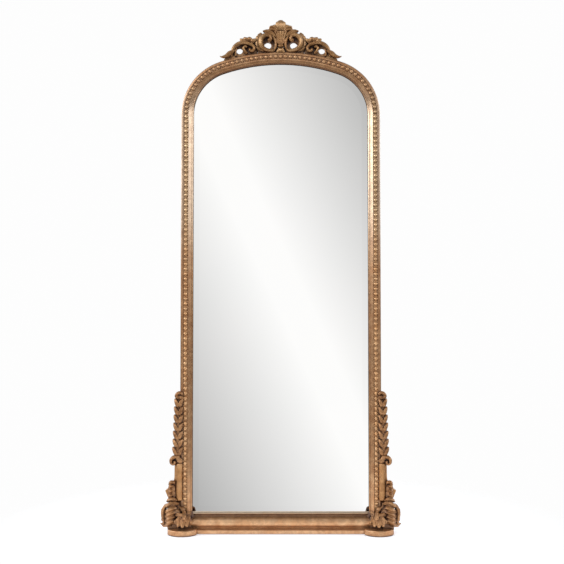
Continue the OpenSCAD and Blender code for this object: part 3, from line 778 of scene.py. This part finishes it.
def corner_leaf_parts():
    """Acanthus that hangs over the swelling front of a corner, its tips clear of the block."""
    cx = -19
    yield ball((cx, 54, 12), (27, 24, 28))
    yield ball((cx + 12, 84, 0), (15, 16, 13))
    yield block([(cx - 26, 21.5), (cx + 26, 21.5), (cx + 26, 74), (cx - 26, 74)], 2, 16)
    # rib that climbs outwards to the foot of the column
    yield stroke([(cx + 28, 106, 4), (cx + 18, 96, 6), (cx + 7, 84, 10), (cx - 2, 76, 18)],
                 [3.0, 4.2, 4.6, 4.6], back=8, keel=0.4)
    # petals that fan out from under the knob and fall to the block
    for reach, tip, out in ((-27, 47, 40), (-13, 36, 50), (2, 34, 54), (17, 37, 52), (28, 48, 42)):
        fall = [(cx - 6 + 0.15 * reach, 74, 34), (cx - 4 + 0.6 * reach, 66, 44),
                (cx - 1 + 0.92 * reach, 54, 17.6 + 0.6 * out), (cx + 1.02 * reach, tip + 5, out),
                (cx + 1.06 * reach, tip - 1, out + 3)]
        yield leaf(fall, [5, 8.5, 8.8, 7, 3.4], thick=9, cup=0.5, midrib=1.2)
    # two broad upper petals; the inner one reaches over the sight edge
    yield leaf([(cx - 4, 70, 40), (cx + 8, 76, 42), (cx + 20, 78, 36), (cx + 27, 72, 30)],
               [5, 8.5, 8.5, 3], thick=10, cup=0.45, side_axis=(0.3, 1, 0))
    yield leaf([(cx - 8, 68, 40), (cx - 19, 78, 34), (cx - 30, 78, 28), (cx - 37, 66, 24)],
               [5, 8, 9, 7], thick=10, cup=0.45, side_axis=(0.3, 1, 0))
    front = [(cx - 1, 82, 22), (cx - 2, 79, 38), (cx - 4, 72, 49), (cx - 7, 65, 54),
             (cx - 9, 60, 57)]
    yield leaf(front, [5, 7.5, 9, 8, 4.5], thick=9, lobes=2, vein=2.4, cup=0.5)
    yield ball((cx - 9, 60, 55), (7.5, 5.5, 5.5))


def corner_leaf_painted_shade(i, place):
    """Painted shade: the petal that reaches over the sight edge is darkened."""
    return PAINTED_SHADE_DEEP * ramp(place.x, (OX - 42) * MM, (OX - 49) * MM) * ramp(place.z, 0.054, 0.062)


# ---- side consoles, drawn from there too ----

def console_parts():
    """Board beside the stile with a half-round column on its front."""
    waist = arc(80, 212, 60, 245, 180, 16)
    board = [(0.5, 116.5), (38, 116.5)] + waist + [(16, 500), (11, 505), (0.5, 505)]
    shaft = [(1.8, z, -1) for z in (117, 190, 262)]
    return [block(board, -27.5, 0.5),
            stroke(shaft, [12.8, 12.4, 12.8], back=3, sides=40, samples=40)]


def console_leaf_parts():
    """Acanthus at the foot of the console, its head rolled over, its tips turned outwards."""
    spine = [(22, 118, 2), (27, 140, 9), (29, 162, 11), (31, 180, 9), (33, 192, 5)]
    yield leaf(spine, [11, 14, 14, 12, 7], thick=14, lobes=3, cut=0.35, vein=2.6, cup=0.35)
    # the rolled head, seen as a short level roll
    yield stroke([(17, 187, 8), (24, 191, 13), (32, 190, 12), (37, 183, 8)], [4.5, 6, 6.5, 4.5],
                 back=12, keel=0.3)
    yield stroke([(22, 178, 8), (30, 176, 13), (37, 170, 11)], [4, 5, 3], back=8, keel=0.3)
    for z, out in ((177, 38), (160, 39), (143, 41)):
        yield stroke([(26, z, 7), (0.6 * (out + 26) - 6, z - 2, 10), (out - 2, z - 9, 6)],
                     [6.5, 7.5, 4.4], back=12, keel=0.3)
    yield leaf([(17, 119, 4), (26, 127, 12), (34, 126, 10), (40, 120, 5)], [7, 9, 9, 5], thick=14,
               lobes=2, side_axis=(0.2, 1, 0))


def console_scroll_parts():
    """Small scroll half way up: leaf rolling out from the column over the waist."""
    coil = [(2, 286, 2), (12, 284, 8), (23, 282, 10), (31, 274, 10), (31, 261, 9), (23, 256, 9),
            (17, 263, 11), (22, 268, 12)]
    yield stroke(coil, [5, 6, 6.6, 6.2, 5.4, 4.4, 4.0, 4.2], back=18, keel=0.3, samples=80)
    yield disc((22, 268), 12, -27, 3)
    yield leaf([(-4, 257, 6), (-1, 268, 13), (5, 279, 12), (14, 289, 6)], [8, 11, 9, 4], thick=9,
               lobes=2, cut=0.35)


HUSKS, HUSK_PITCH, HUSK_FOOT = 7, 30.0, 292.0


def husk_axis(z):
    """The garland leans a little towards the stile as it climbs."""
    return 8.0 - 4.0 * (z - HUSK_FOOT) / (HUSKS * HUSK_PITCH)


def husk_parts():
    """Husks growing out of one another up the side of the stile: a pair of veined petals that
    part over a dark throat, with a small bud in it and a third petal on the outer side."""
    yield stroke([(husk_axis(z), z, -5) for z in (HUSK_FOOT - 4, 400, 504)], [13, 12, 9],
                 side_axis=(1, 0, 0), samples=40)
    for i in range(HUSKS):
        z = HUSK_FOOT + i * HUSK_PITCH
        ax, k = husk_axis(z), 1.0 - 0.035 * i
        for s in (-1, 1):
            petal = [(ax + 2 * s, z - 8, 5), (ax + 7 * k * s, z + 2, 12),
                     (ax + 12 * k * s, z + 13, 13), (ax + 16.5 * k * s, z + 22, 9),
                     (ax + 19.5 * k * s, z + 28, 4)]
            yield leaf(petal, [4, 6.6, 7, 5.4, 1.6], thick=8, vein=2.0, cup=0.4,
                       side_axis=(1, -0.55 * s, -0.3 * s), rows=40, columns=17)
        yield ball((ax, z + 9, 5), (3.6, 6, 4.5), sides=16, rings=10)
        side = [(ax + 9, z - 4, -5), (ax + 13, z + 6, -8), (ax + 17 * k, z + 18, -10),
                (ax + 18 * k, z + 27, -12)]
        yield leaf(side, [3.5, 9, 9, 2.5], thick=6, vein=1.8, side_axis=(0, 0, -1), rows=36,
                   columns=15)


def cap_leaf_parts():
    """Broad curled leaf that ends the garland."""
    curl = [(-11, 512, 6), (-5, 520, 9), (4, 521, 9), (12, 515, 8), (14, 506, 7), (8, 503, 9)]
    return [stroke(curl, [4, 5.5, 6, 5.6, 5, 4.2], back=14, keel=0.3, samples=60),
            leaf([(3, 491, 2), (3, 500, 9), (3, 509, 8), (4, 516, 2)], [9, 13, 14, 10], thick=12,
                 lobes=3),
            leaf([(-3, 493, 4), (-9, 501, 8), (-12, 508, 5)], [5, 6, 2], thick=9, vein=1.8)]


# ---- crest, drawn from the frame's middle ----

CREST_BACK = 16.0


def arch_z(x, above=0.0):
    """Height of the frame's outer edge over a place in the crest's width, in mm."""
    r = (CROWN_R + MOULD_W) / MM
    return CROWN_Z / MM + sqrt(r * r - x * x) + above


def crest_stem_parts():
    """Fluted fan that flares from a collar up to the shell."""
    yield block([(-11, 1798), (11, 1798), (10, 1830), (30, 1878), (-30, 1878), (-10, 1830)],
                -23.5, -2)
    for k in (-2, -1, 0, 1, 2):
        yield stroke([(3.6 * k, 1834, 1), (6.5 * k, 1856, 4), (11.5 * k, 1884, 8)], [3.0, 4.4, 7.0],
                     back=12, keel=0.35)
    for s in (-1, 1):
        yield stroke([(9 * s, 1836, 0), (19 * s, 1848, 4), (27 * s, 1860, 6), (36 * s, 1874, 4)],
                     [3, 5, 5.5, 4], back=14, keel=0.35)
        yield stroke([(6 * s, 1822, 1), (9 * s, 1812, 1), (13 * s, 1803, -2)], [4, 5, 5], back=14)
    yield ball((0, 1829, -1), (13.5, 6.5, 12))
    yield ball((0, 1813, -3), (8, 9, 12))


def crest_shell_parts():
    """Shell: a ribbed dome curling forwards over the fan, with a ribbed shoulder on each side."""
    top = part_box("crest_shell")[1].z / MM + 2
    yield ball((0, top - 20, 0), (18, 19, 13))
    yield ball((0, top - 38, 0), (16, 16, 10))
    for k in (-3, -2, -1, 0, 1, 2, 3):
        rib = [(3.2 * k, top - 46, 6), (5.0 * k, top - 31, 12), (5.2 * k, top - 18, 12),
               (4.4 * k, top - 9 - 0.4 * k * k, 6), (2.8 * k, top - 4 - 0.5 * k * k, -4)]
        yield stroke(rib, [2.6, 3.5, 3.8, 3.4, 2.6], keel=0.3, samples=36)
    for s in (-1, 1):
        yield ball((31 * s, 1890, -5), (17, 11, 11))
        for reach, head, start in ((31, 1906, 1890), (43, 1903, 1886), (49, 1891, 1880)):
            rib = [(12 * s, start - 6, 5), (0.5 * reach * s, (start + head) / 2 + 1, 10),
                   (0.85 * reach * s, head - 4, 7), (reach * s, head - 9, -1)]
            yield stroke(rib, [3.5, 5.5, 5.5, 3.6], back=8, keel=0.35, samples=36)


def c_scroll_parts():
    """C-scroll standing on the arch, its head rolled in to a knob, a broad leaf on its back."""
    plate = [(88, 1836), (88, 1862), (79, 1877), (58, 1880), (36, 1876), (20, 1862), (14, 1838),
             (15, 1804), (50, 1800), (86, 1797), (89, 1815)]
    yield pierced_plate((49, 1833), 13, plate, -22, -7)
    main = [(20, 1812, -2), (44, 1812, 2), (64, 1818, 6), (76, 1835, 8), (73, 1856, 8),
            (58, 1868, 8), (43, 1866, 9), (37, 1855, 11), (42, 1847, 12), (48, 1851, 12)]
    yield stroke(main, [5, 6, 8, 9, 9, 8, 6.5, 6, 6.2, 5], back=CREST_BACK, keel=0.35, samples=110)
    yield ball((43, 1849, 9), (7, 7, 8))
    spine = [(64, 1808, 0), (82, 1822, 5), (87, 1843, 7), (83, 1864, 6), (74, 1880, 1)]
    yield leaf(spine, [7, 11, 11, 10, 4], thick=16, lobes=4, cut=0.35, vein=2.6, cup=0.35)
    yield stroke([(25, 1812, -1), (19, 1825, 4), (19, 1840, 6), (24, 1853, 6), (30, 1864, 3)],
                 [3.5, 4.8, 5, 4.6, 2.8], back=CREST_BACK, keel=0.35)
    yield leaf([(22, 1862, 0), (34, 1874, 6), (50, 1881, 6), (64, 1881, 1)], [5, 8, 8, 3], thick=14,
               side_axis=(-0.3, 1, 0))


def leaf_scroll_parts():
    """Leafy scroll lying along the arch: outer arc, inner coil, lobed leaf on its back."""
    plate = [(186, 1800), (182, 1818), (170, 1834), (152, 1848), (134, 1852), (112, 1856),
             (97, 1850), (91, 1830), (91, 1797), (122, 1792), (152, 1784), (182, 1776)]
    yield pierced_plate((156, 1812), 11, plate, -21, -8)
    main = [(187, arch_z(187, 2), -2), (184, 1806, 3), (174, 1825, 6), (157, 1837, 7),
            (136, 1839, 8), (114, 1833, 8), (101, 1822, 8), (104, 1810, 9), (115, 1809, 10),
            (118, 1817, 10)]
    yield stroke(main, [4, 6, 7, 7, 6.5, 6, 5.5, 5, 4.6, 4.4], back=CREST_BACK, keel=0.4,
                 samples=110)
    yield stroke([(126, arch_z(126, 3), 0), (136, 1809, 4), (141, 1819, 6), (134, 1826, 6),
                  (127, 1821, 7)], [4.5, 5.5, 5.2, 4.6, 4.4], back=CREST_BACK, keel=0.3)
    for x, z, lean in ((103, 1850, -6), (117, 1856, 2), (131, 1855, 6), (144, 1850, 7)):
        yield leaf([(x - lean, z - 15, 4), (x - 0.2 * lean, z - 4, 11), (x + 0.6 * lean, z + 4, 9),
                    (x + 1.1 * lean, z + 7, 2)], [6, 8.5, 7.5, 2.6], thick=15, vein=2.4, cup=0.4)
    yield stroke([(171, arch_z(171, 2), 0), (171, 1806, 3), (166, 1818, 5)], [3.5, 4, 2.4],
                 back=CREST_BACK - 2, keel=0.3)


def crest_tip_parts():
    """Last leaf of the crest, dying away along the arch and flicking up at its tip."""
    spine = [(176, arch_z(176, 20), 0), (190, arch_z(190, 18), 4), (204, arch_z(204, 11), 5),
             (216, arch_z(216, 10), 4), (224, arch_z(224, 16), 1)]
    return [leaf(spine, [6, 9, 8, 5, 2], thick=16, lobes=2, side_axis=(0.3, 0.9, 0)),
            block([(172, arch_z(172, -3)), (216, arch_z(216, -3)), (214, arch_z(214, 5)),
                   (192, arch_z(192, 14)), (172, arch_z(172, 18))], -21, -2)]


# kind, its parts, where they are drawn from (mm from the middle), voxel (mm), gilding
PAIRS = (
    ("corner_volute", corner_volute_parts, OX, 1.2, GILT_CARVED),
    ("corner_leaf", corner_leaf_parts, OX, 1.1, GILT_CARVED),
    ("console", console_parts, OX, 1.6, GILT_PLAIN),
    ("console_leaf", console_leaf_parts, OX, 1.2, GILT_CARVED),
    ("console_scroll", console_scroll_parts, OX, 1.2, GILT_CARVED),
    ("husk_garland", husk_parts, OX, 1.1, GILT_CARVED),
    ("cap_leaf", cap_leaf_parts, OX, 1.0, GILT_CARVED),
    ("c_scroll", c_scroll_parts, 0, 1.0, GILT_CREST),
    ("leaf_scroll", leaf_scroll_parts, 0, 1.0, GILT_CREST),
    ("crest_tip", crest_tip_parts, 0, 1.0, GILT_CREST))


def build_ornaments():
    for kind, parts, start, voxel, gilt in PAIRS:
        right = fuse(f"{kind}_right_carved", parts(), voxel, start)
        # painted shade on the corner leaf's petal over the sight edge
        if kind == "corner_leaf":
            set_painted_shade(right, corner_leaf_painted_shade)
        paint_back(right)
        finish_pair(right, kind, "gilt_ornament", gilt, BACK_PAINT)
    for kind, parts in (("crest_shell", crest_shell_parts), ("crest_stem", crest_stem_parts)):
        obj = fuse(f"{kind}_carved", parts(), 1.0, 0)
        paint_back(obj)
        finish_piece(obj, "frame", [kind], "gilt_ornament", GILT_CREST, BACK_PAINT)


# ---- glass ----

BEVEL_W, BEVEL_DROP = 21.0, 0.11         # mm


def opening_outline(grow, steps=40):
    """The arched sight opening grown by a distance in metres, from its lower left corner on."""
    a0 = degrees(CROWN_ANGLE)
    x, z = SIGHT_X + grow, SIGHT_Z - grow
    right = arc(HAUNCH_X, SPRING_Z, HAUNCH_R + grow, 0, 90 - a0, steps - 1)
    crown = arc(0, CROWN_Z, CROWN_R + grow, 90 - a0, 90 + a0, 2 * steps - 1)[1:-1]
    left = [(-px, pz) for px, pz in reversed(right)]
    return [(-x, z), (x, z)] + right + crown + left


def build_glass():
    grip = glass_hi.x - SIGHT_X
    front = glass_lo.y
    rings = [(grip, glass_hi.y), (grip, front + BEVEL_DROP * MM), (-BEVEL_W * MM, front)]
    verts = [(x, y, z) for grow, y in rings for x, z in opening_outline(grow)]
    n = len(rings)
    glass = new_object("bevelled_glass", verts, tube_faces(n, len(verts) // n))
    smooth_shade(glass, 0.1)
    finish_piece(glass, "frame", ["mirror_glass"], "mirror_glass", MIRROR)


# ---- CAD pieces that keep their shape ----

def dress_cad_nodes():
    hangers = [f"hanger_{what}_{side}" for what in ("plate", "ring") for side in ("left", "right")]
    buttons = [f"turn_button_{i}" for i in range(1, 10)]
    for material, names in (
            (FELT, ["cushion_strip"]), (FIBREBOARD, ["backing_board"]),
            (BRASS, ["turn_button_screws", "hanger_screws", "joint_plate_screws"]),
            (ZINC, ["joint_plates"] + hangers + buttons),
            (RUBBER, ["wall_bumpers", "foot_pad_left", "foot_pad_right"])):
        for name in names:
            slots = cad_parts[name].data.materials
            slots.clear()
            slots.append(material)


# ---- stage ----

# metres from the moulding's front, metres up and across, degrees, millimetres
CAMERA_DISTANCE, CAMERA_HEIGHT, CAMERA_X = 3.2, 0.83, 0.0049
CAMERA_TILT, CAMERA_LENS = 1.87, 54.45


def build_camera():
    data = bpy.data.cameras.new("camera")
    data.lens = CAMERA_LENS
    data.sensor_width = 36.0
    camera = add_object("camera", data)
    camera.location = (CAMERA_X, FRONT_Y - CAMERA_DISTANCE, CAMERA_HEIGHT)
    camera.rotation_euler = (radians(90 + CAMERA_TILT), 0, 0)
    bpy.context.scene.camera = camera


# the bright band that the glass reflects, in slopes away from straight ahead
BAND_ACROSS, BAND_UP, BAND_PLACE = 0.906, 0.423, 0.0145
BAND_PEAK, BAND_FALL, BAND_FLOOR, BAND_TOP = 1.053, 2.95, 0.42, 1.0
# the room to the sides, above and below: (sine of the elevation, brightness)
ROOM = ((-1.0, 0.15), (-0.7, 0.3), (-0.35, 0.5), (-0.17, 0.5), (-0.1, 0.15), (0.05, 0.12),
        (0.11, 2.3), (0.28, 2.9), (0.5, 1.0), (0.75, 0.45), (1.0, 0.3))
ROOM_MOST = max(light for _, light in ROOM)
WARM, COOL, SEEN = (1.0, 0.995, 0.985, 1), (0.92, 1.0, 1.12, 1), (0.985, 0.985, 0.985, 1)


def build_world():
    """A white studio. Facing the mirror it is brightest along a slanting band and falls off
    evenly to both sides; the room is brighter above the horizon than below it."""
    world = bpy.data.worlds.new("studio")
    bpy.context.scene.world = world
    w = Nodes(world)
    w.tree.nodes.clear()
    x, y, z = w.axes("Generated")
    depth = w.calc("MAXIMUM", w.times(y, -1.0), 0.05)
    slant = w.calc("ADD", w.times(w.calc("DIVIDE", x, depth), BAND_ACROSS),
                   w.times(w.calc("DIVIDE", z, depth), BAND_UP))
    fall = w.times(w.calc("ABSOLUTE", w.calc("SUBTRACT", slant, BAND_PLACE)), BAND_FALL)
    band = w.calc("MAXIMUM", w.calc("SUBTRACT", BAND_PEAK, fall), BAND_FLOOR)
    band = w.calc("MINIMUM", band, BAND_TOP)

    room = w.fill(w.add("ShaderNodeFloatCurve"), Value=w.calc("MULTIPLY_ADD", z, 0.5, 0.5))
    curve = room.mapping.curves[0]
    curve.points[0].location = (0.0, ROOM[0][1] / ROOM_MOST)
    curve.points[1].location = (1.0, ROOM[-1][1] / ROOM_MOST)
    for height, light in ROOM[1:-1]:
        curve.points.new((height + 1) / 2, light / ROOM_MOST)
    room.mapping.update()
    around = w.times(w.times(room.outputs[0], ROOM_MOST), w.spread(x, -0.2, 0.8, 1.05, 0.9))

    ahead = w.spread(depth, 0.75, 0.92)
    window = w.times(w.spread(z, 0.05, 0.13), w.calc("SUBTRACT", 1.0, ahead))
    lit = w.fill(w.add("ShaderNodeBackground"), Color=w.mix(window, WARM, COOL),
                 Strength=w.mix(ahead, around, band, "FLOAT"))
    seen = w.fill(w.add("ShaderNodeBackground"), Color=SEEN)
    choose = w.add("ShaderNodeMixShader")
    camera_ray = w.add("ShaderNodeLightPath").outputs["Is Camera Ray"]
    for socket, value in zip(choose.inputs, (camera_ray, lit.outputs[0], seen.outputs[0])):
        w.feed(socket, value)
    w.feed(w.add("ShaderNodeOutputWorld").inputs[0], choose.outputs[0])


def soft_box(name, place, aim, size, watts):
    data = bpy.data.lights.new(name, "AREA")
    data.shape = "RECTANGLE"
    data.size, data.size_y = size
    data.energy = watts
    lamp = add_object(name, data)
    lamp.location = place
    lamp.rotation_euler = (Vector(aim) - Vector(place)).to_track_quat("-Z", "Y").to_euler()


FLOOR_HALF, FLOOR_FADE = 1.4, (0.42, 1.2)


def build_floor():
    """Pale floor that fades out softly round the mirror. The glass doesn't show it."""
    verts = [(a * FLOOR_HALF, b * FLOOR_HALF, 0) for a, b in ((-1, -1), (1, -1), (1, 1), (-1, 1))]
    floor = new_object("floor", verts, [(0, 1, 2, 3)])
    m = Nodes(bpy.data.materials.new("floor"))
    length = m.add("ShaderNodeVectorMath", operation="LENGTH")
    m.feed(length.inputs[0], m.place("Object"))
    shown = m.spread(length.outputs["Value"], *FLOOR_FADE, 1.0, 0.0)
    singular = m.add("ShaderNodeLightPath").outputs["Is Singular Ray"]
    m.fill(m.shader, Base_Color=(0.95, 0.95, 0.95, 1), Roughness=0.9, Specular_IOR_Level=0.1,
           Emission_Color=(1, 1, 1, 1), Emission_Strength=0.4,
           Alpha=m.times(shown, m.calc("SUBTRACT", 1.0, singular)))
    floor.data.materials.append(m.owner)


def build_stage():
    build_camera()
    build_world()
    build_floor()
    soft_box("key_high", (-1.5, -2.7, 3.1), (0, 0, 0.9), (1.2, 0.8), 21)
    soft_box("side_left", (-2.4, -1.0, 2.2), (0, 0, 1.3), (0.8, 1.4), 7)
    bpy.context.scene.view_settings.view_transform = "Standard"


build_stage()
build_mouldings()
build_beads()
build_base()
build_glass()
build_ornaments()
dress_cad_nodes()

bpy.context.view_layer.update()
